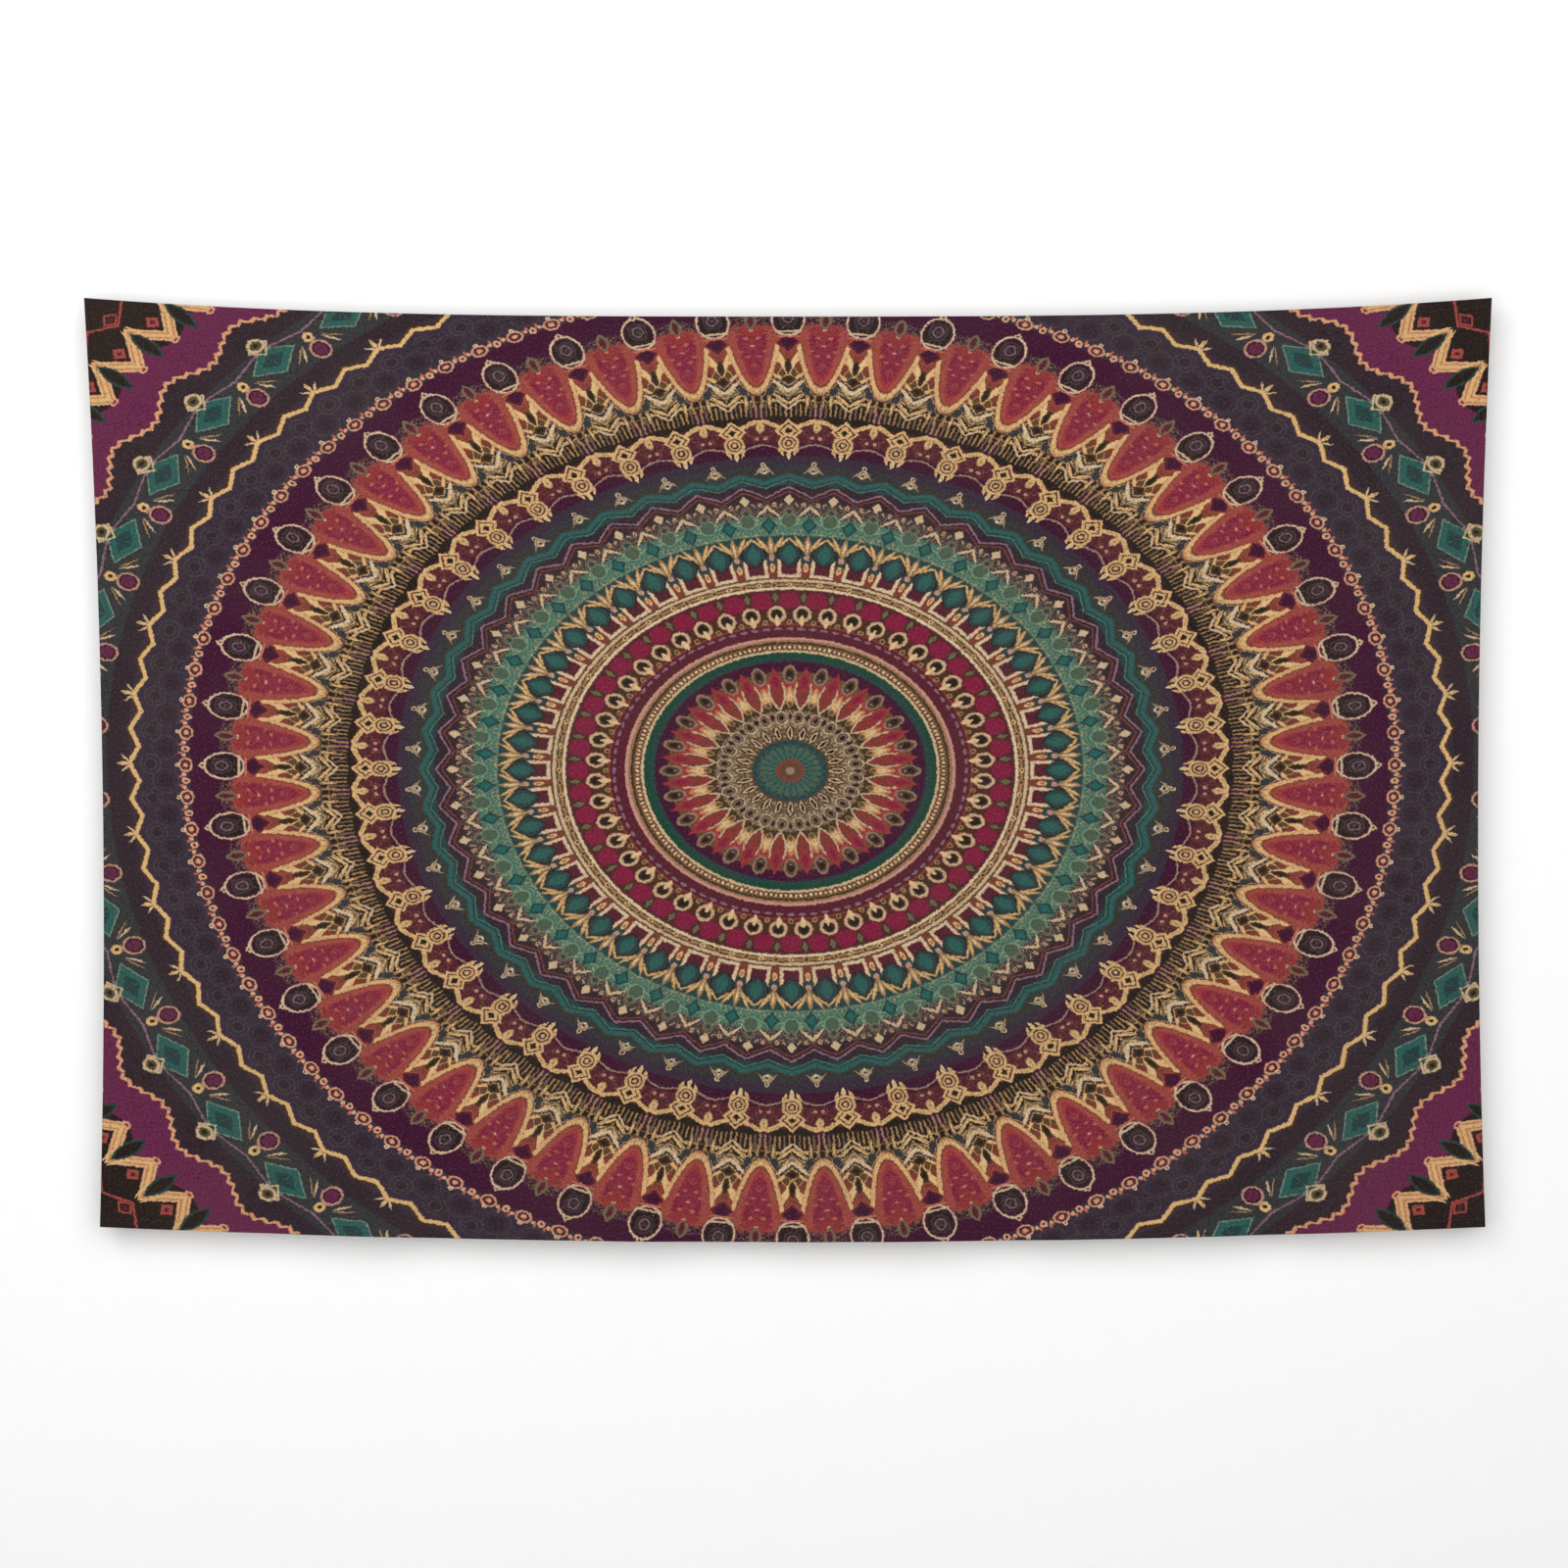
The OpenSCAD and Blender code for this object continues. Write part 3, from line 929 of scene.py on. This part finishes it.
# The folded hem in section: distance in from the edge, and depth from the hem's front, in metres
HEM_SECTION = [
    (0.0004, 0.00004), (0.0000, 0.00025), (0.0000, 0.00055), (0.0004, 0.00076),
    (0.0020, 0.00080), (0.0072, 0.00078), (0.0083, 0.00070), (0.0090, 0.00062),
    (0.0097, 0.00070), (0.0106, 0.00077), (0.0116, 0.00074), (0.0120, 0.00045),
    (0.0117, 0.00006), (0.0060, 0.00002),
]
HEM_RING_STEP = 0.0035
HEM_GAP = 0.0003
SEAM_DIMPLE = 0.00018
PUCKER = 0.00012
PUCKER_PHASES = {"top": 0.3, "bottom": 1.7, "left": 2.9, "right": 4.1}


def edge_place(side, along, depth):
    """Flat place (s, q) at a depth in from one edge, and the print's place on the turned hem."""
    if side == "top":
        return along, depth, along, CLOTH_H / 2 + depth
    if side == "bottom":
        return along, CLOTH_H - depth, along, -CLOTH_H / 2 - depth
    if side == "left":
        return depth - CLOTH_W / 2, along, -CLOTH_W / 2 - depth, CLOTH_H / 2 - along
    return CLOTH_W / 2 - depth, along, CLOTH_W / 2 + depth, CLOTH_H / 2 - along


def edge_run(side):
    """Where a hem starts and ends along its edge. The side hems stop at the long hems."""
    if side in ("top", "bottom"):
        return -CLOTH_W / 2, CLOTH_W / 2
    return HEM_W + HEM_GAP, CLOTH_H - HEM_W - HEM_GAP


def back_surface(s, q):
    """The hem's back face, with its seam's dimple."""
    dimple = SEAM_DIMPLE * np.exp(-((edge_distance(s, q) - SEAM_INSET) / 0.0009) ** 2)
    return HEM_FRONT + HEM_DEEP + ripple(s, q) - dimple


def pucker(side, along):
    """Small puckers that the seam draws in the back of a hem, as two waves along it."""
    long = np.sin(2 * math.pi * along / 0.0235 + PUCKER_PHASES[side])
    short = np.sin(2 * math.pi * along / 0.0151)
    return PUCKER * (long + 0.7 * short)


def make_hem(side, material):
    start, end = edge_run(side)
    along = np.linspace(start, end, round((end - start) / HEM_RING_STEP) + 1)
    inward, deep = np.array(HEM_SECTION).T
    run, depth = np.meshgrid(along, inward, indexing="ij")
    s, q, print_x, print_y = edge_place(side, run, depth)
    x, z = hung(s, q)
    y = HEM_FRONT + deep + ripple(s, q)
    y += pucker(side, run) * np.clip(deep / HEM_DEEP, 0, 1) * np.clip(depth / 0.003, 0, 1)
    points = np.stack([x, y, z], -1).reshape(-1, 3)
    flat = np.stack([print_x, print_y], -1).reshape(-1, 2)
    quads = ring_quads(1, *run.shape)
    if side in ("top", "right"):
        quads = quads[:, ::-1]
    hem = mesh_piece(side + "_hem_cloth", points, quads, flat)
    hem.data.materials.append(material)
    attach(hem, "cloth")
    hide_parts(side + "_hem")
    return hem


def ring_quads(tubes, rings, sides):
    """Quads of closed tubes: each ring joined to the next, and a fan of quads at both ends."""
    index = np.arange(tubes * rings * sides).reshape(tubes, rings, sides)
    after = np.roll(index, -1, axis=2)
    walls = np.stack([index[:, :-1], after[:, :-1], after[:, 1:], index[:, 1:]], -1)
    quads = [walls.reshape(-1, 4)]
    for k in range(1, sides // 2):
        a, b, c, d = k - 1, k, sides - 1 - k, sides - k
        quads.append(index[:, 0][:, [a, d, c, b]])
        quads.append(index[:, -1][:, [a, b, c, d]])
    return np.concatenate(quads)


# -------------------- thread and braid


def make_tubes(name, paths, across, up, half_w, half_h, material, sides=6):
    """Tubes along paths (tube, ring, xyz). across and up give each ring's directions."""
    tubes, rings, _ = paths.shape
    turn = 2 * math.pi * (np.arange(sides) + 0.5) / sides
    wide = (np.broadcast_to(half_w, (rings,))[:, None] * np.cos(turn))[None, :, :, None]
    high = (np.broadcast_to(half_h, (rings,))[:, None] * np.sin(turn))[None, :, :, None]
    across = np.broadcast_to(across, paths.shape)[:, :, None, :]
    up = np.broadcast_to(up, paths.shape)[:, :, None, :]
    points = paths[:, :, None, :] + wide * across + high * up
    steps = np.linalg.norm(np.diff(paths, axis=1), axis=2)
    run = np.concatenate([np.zeros((tubes, 1)), np.cumsum(steps, axis=1)], axis=1)
    girth = np.max(half_w) * 2 * np.abs(turn - math.pi) / math.pi
    flat = np.stack(np.broadcast_arrays(run[:, :, None], girth[None, None, :]), -1)
    quads = ring_quads(tubes, rings, sides)
    piece = mesh_piece(name, points.reshape(-1, 3), quads, flat.reshape(-1, 2))
    piece.data.materials.append(material)
    return piece


STITCH_PITCH = 0.0035
STITCH_HALF = 0.00135
STITCH_HALF_W = 0.00030
STITCH_HALF_H = 0.00018
STITCH_SWAY = 0.00009

# A stitch in profile: share of its half length, of its thickness, and height off the cloth
STITCH_RUN, STITCH_SIZE, STITCH_LIFT = np.array([
    (-1, 0.4, -0.00030), (-0.78, 0.85, -0.00002), (-0.3, 1, 0.00008),
    (0.3, 1, 0.00008), (0.78, 0.85, -0.00002), (1, 0.4, -0.00030)]).T
ACROSS = np.array((1.0, 0, 0))
BACKWARD = np.array((0, 1.0, 0))
UPWARD = np.array((0, 0, 1.0))


def make_seam(side, face, material):
    """One thread's stitches along a hem: the needle thread in front, the bobbin thread behind."""
    start, end = edge_run(side)
    level = side in ("top", "bottom")
    needle = face == "needle"
    inset = 0.0036 if level else -0.0017
    count = int((end - start - 2 * inset) / STITCH_PITCH)
    first = (start + end) / 2 - (count - 1) / 2 * STITCH_PITCH
    shift = 0.0 if needle else STITCH_PITCH / 2
    middles = first + np.arange(count - (not needle)) * STITCH_PITCH + shift
    along = middles[:, None] + STITCH_HALF * STITCH_RUN
    sway = STITCH_SWAY * np.sin(middles * 1900.0)[:, None] * np.ones_like(along)
    s, q, _, _ = edge_place(side, along, SEAM_INSET + sway)
    x, z = hung(s, q)
    y = front_surface(s, q) - STITCH_LIFT if needle else back_surface(s, q) + STITCH_LIFT
    seam = make_tubes(f"{side}_{face}_stitches", np.stack([x, y, z], -1),
                      UPWARD if level else ACROSS, -BACKWARD if needle else BACKWARD,
                      STITCH_HALF_W * STITCH_SIZE, STITCH_HALF_H * STITCH_SIZE, material)
    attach(seam, "cloth")
    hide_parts(f"{side}_{face}_thread")


# The braid's eye, its hinge on the tack, and half the distance between its sewn ends
EYE_Z = -0.004
EYE_R = 0.0055
HINGE_Z = -0.017
LEG_X = 0.0017
ENDS_LOW, ENDS_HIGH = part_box("left_loop_ends")

# Each strand: the length of its weave, its swing and lift in it, and its half width and height.
# The braid eases from its sewn depth to its free one, and thins at its cut ends, within BRAID_EASE.
BRAID_PITCH = 0.0062
STRAND_SWING = 0.00098
STRAND_LIFT = 0.00023
STRAND_HALF_W = 0.00050
STRAND_HALF_H = 0.00027
BRAID_EASE = 0.0012


def loop_path():
    """Middle line of a loop's braid in its own x and z: up one leg, round the eye, down again."""
    rise = EYE_Z - HINGE_Z
    reach = math.hypot(LEG_X, rise)
    lean = math.asin(EYE_R / reach) - math.atan2(LEG_X, rise)
    # the arc goes over the top, from the left tangent point to the right one
    angles = np.linspace(math.pi + lean, -lean, 90)
    eye = np.stack([EYE_R * np.cos(angles), EYE_Z + EYE_R * np.sin(angles)], -1)
    foot = ENDS_LOW.z
    left = np.array([[-LEG_X, foot], [-LEG_X, HINGE_Z - 0.0004]])
    right = np.array([[LEG_X, HINGE_Z - 0.0004], [LEG_X, foot]])
    return smooth_line(np.concatenate([left, eye, right]), 300, 9)


def run_along(line):
    """The distance of each point of a line from its start."""
    return np.concatenate([[0], np.cumsum(np.linalg.norm(np.diff(line, axis=0), axis=1))])


def smooth_line(corners, count, width):
    """The line through the corners, evenly spaced, with its corners rounded."""
    run = run_along(corners)
    even = np.linspace(0, run[-1], count)
    line = np.stack([np.interp(even, run, corners[:, k]) for k in (0, 1)], -1)
    kernel = np.hanning(width + 2)[1:-1]
    kernel /= kernel.sum()
    half = width // 2
    padded = np.concatenate([np.repeat(line[:1], half, 0), line, np.repeat(line[-1:], half, 0)])
    return np.stack([np.convolve(padded[:, k], kernel, "valid") for k in (0, 1)], -1)


def make_loop(side, material):
    """A flat three-strand braid, sewn down by both ends and free above its tack."""
    low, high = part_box(side + "_loop_ends")
    middle_x = (low.x + high.x) / 2
    line = loop_path()
    ahead = np.gradient(line, axis=0)
    ahead /= np.linalg.norm(ahead, axis=1, keepdims=True)
    sideways = np.stack([-ahead[:, 1], np.zeros(len(line)), ahead[:, 0]], -1)
    run = run_along(line)
    sewn_y = (ENDS_LOW.y + ENDS_HIGH.y) / 2
    share = np.clip((line[:, 1] - (HINGE_Z - BRAID_EASE)) / BRAID_EASE, 0, 1)
    depth = sewn_y * (1 - share * share * (3 - 2 * share))
    strands = []
    for k in range(3):
        turn = 2 * math.pi * (run / BRAID_PITCH + k / 3)
        strand = np.stack([line[:, 0], depth + STRAND_LIFT * np.sin(2 * turn), line[:, 1]], -1)
        strand += STRAND_SWING * np.sin(turn)[:, None] * sideways
        strands.append(strand + middle_x * ACROSS)
    taper = np.minimum(1, 0.55 + 0.45 * np.minimum(run, run[-1] - run) / BRAID_EASE)
    braid = make_tubes(side + "_braid", np.array(strands), sideways, BACKWARD,
                       STRAND_HALF_W * taper, STRAND_HALF_H * taper, material, 8)
    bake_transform(braid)
    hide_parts(side + "_loop", side + "_loop_ends")


# A bar tack's stitches: how many, their radius, and how far each slants
TACK_COUNT = 12
TACK_R = 0.00015
TACK_SLANT = 0.00009


def make_tack(side, material):
    """The bar tack: dense zigzag stitches from hem to hem over both sewn ends."""
    low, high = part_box(side + "_loop_tack")
    shape = np.linspace(-1, 1, 15)
    fall = np.clip((np.abs(shape) - 0.80) / 0.20, 0, 1) ** 2
    paths = np.zeros((TACK_COUNT, len(shape), 3))
    for k, row in enumerate(np.linspace(low.z + 0.00022, high.z - 0.00022, TACK_COUNT)):
        paths[k, :, 0] = (low.x + high.x) / 2 + (high.x - low.x) / 2 * 0.985 * shape
        paths[k, :, 1] = high.y - 0.00018 - fall * (high.y - low.y - 0.0002)
        paths[k, :, 2] = row + TACK_SLANT * (1 if k % 2 else -1) * shape
    tack = make_tubes(side + "_tack_stitches", paths, UPWARD, BACKWARD, TACK_R, TACK_R, material)
    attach(tack, "cloth")
    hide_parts(side + "_loop_tack")


# -------------------- care label

# The ribbon's thickness, half the distance between its two layers' middles, how far its free
# edge curls up and how far its corners bow
LABEL_LAYER = 0.00016
LABEL_GAP = 0.00010
LABEL_CURL = 0.0016
LABEL_BOW = 0.0005


def label_path(strip_low, strip_high, flap_low, flap_high):
    """The ribbon's middle line in x and y: out along the near layer, round the fold and back."""
    hinge_x = (strip_high.x + flap_low.x) / 2
    fold_x = flap_high.x - 0.0003
    near = (strip_low.y + strip_high.y) / 2
    free = (flap_low.y + flap_high.y) / 2
    out = np.concatenate([np.linspace(strip_low.x, hinge_x + 0.003, 12),
                          np.linspace(hinge_x + 0.004, fold_x, 30)])
    fold = np.linspace(-math.pi / 2, math.pi / 2, 7)[1:-1]
    x = np.concatenate([out, fold_x + LABEL_GAP * np.cos(fold), out[::-1]])
    side = np.concatenate([-np.ones(len(out)), np.sin(fold), np.ones(len(out))]) * LABEL_GAP
    share = np.clip((x - strip_high.x) / (flap_low.x - strip_high.x), 0, 1)
    rest = near + (free - near) * share * share * (3 - 2 * share)
    reach = np.clip((x - hinge_x) / (fold_x - hinge_x), 0, 1)
    return hinge_x, fold_x, np.stack([x, rest + side + LABEL_CURL * reach ** 2.4], -1)


def make_label(material):
    """A blank satin label: one ribbon folded double, both ends under its seam, free at its fold."""
    strip_low, strip_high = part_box("care_label_edge")
    flap_low, flap_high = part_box("care_label")
    hinge_x, fold_x, path = label_path(strip_low, strip_high, flap_low, flap_high)
    along = run_along(path)
    normal = np.stack([-np.gradient(path[:, 1]), np.gradient(path[:, 0])], -1)
    normal /= np.linalg.norm(normal, axis=1, keepdims=True)
    layers = [np.column_stack([path + way * LABEL_LAYER / 2 * normal, along])[::way]
              for way in (-1, 1)]
    x, y, run = np.concatenate(layers).T
    mid_z = (flap_low.z + flap_high.z) / 2
    half_z = (flap_high.z - flap_low.z) / 2
    z = np.linspace(flap_low.z, flap_high.z, 19)[:, None] + np.zeros(len(x))
    bend = LABEL_BOW * np.clip((x - hinge_x) / (fold_x - hinge_x), 0, 1)
    points = np.stack([x + 0 * z, y + bend * ((z - mid_z) / half_z) ** 2, z], -1)
    flat = np.stack([run + 0 * z, z - mid_z], -1)
    quads = ring_quads(1, *z.shape)[:, ::-1]
    label = mesh_piece("blank_label", points.reshape(-1, 3), quads, flat.reshape(-1, 2))
    label.data.materials.append(material)
    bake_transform(label)
    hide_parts("care_label", "care_label_edge")


def make_label_seam(material):
    low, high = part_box("care_label_stitches")
    strip_low, strip_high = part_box("care_label_edge")
    count = round((high.z - low.z + 0.0009) / STITCH_PITCH)
    middles = (low.z + high.z) / 2 + (np.arange(count) - (count - 1) / 2) * STITCH_PITCH
    paths = np.zeros((count, len(STITCH_RUN), 3))
    paths[:, :, 0] = (low.x + high.x) / 2
    paths[:, :, 1] = (strip_low.y + strip_high.y) / 2 + 0.00022 + STITCH_LIFT
    paths[:, :, 2] = middles[:, None] + STITCH_HALF * STITCH_RUN
    seam = make_tubes("label_stitches", paths, ACROSS, BACKWARD,
                      STITCH_HALF_W * STITCH_SIZE, STITCH_HALF_H * STITCH_SIZE, material)
    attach(seam, "cloth")
    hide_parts("care_label_stitches")


# -------------------- the scene

make_camera()
bpy.context.scene.view_settings.view_transform = "Standard"
make_world()
make_stage()
for light in LIGHTS:
    make_light(*light)

print_group = make_print()
face_material = print_material("printed_face", print_group)
back_material = print_material("printed_back", print_group, 0.22)
thread = thread_material("seam_thread", DYES["thread"], 0.0006, 0.3)
cord = thread_material("braid_yarn", DYES["braid"], 0.00035, 0.35)
satin = satin_material("label_ribbon")

cloth = make_cloth(face_material, back_material)
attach(cloth, "cloth")
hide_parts("cloth_panel")
sides = ("top", "bottom", "left", "right")
hems = [make_hem(side, face_material) for side in sides]
for side in sides:
    make_seam(side, "needle", thread)
    make_seam(side, "bobbin", thread)
for side in ("left", "right"):
    make_loop(side, cord)
    make_tack(side, thread)
make_label(satin)
make_label_seam(thread)
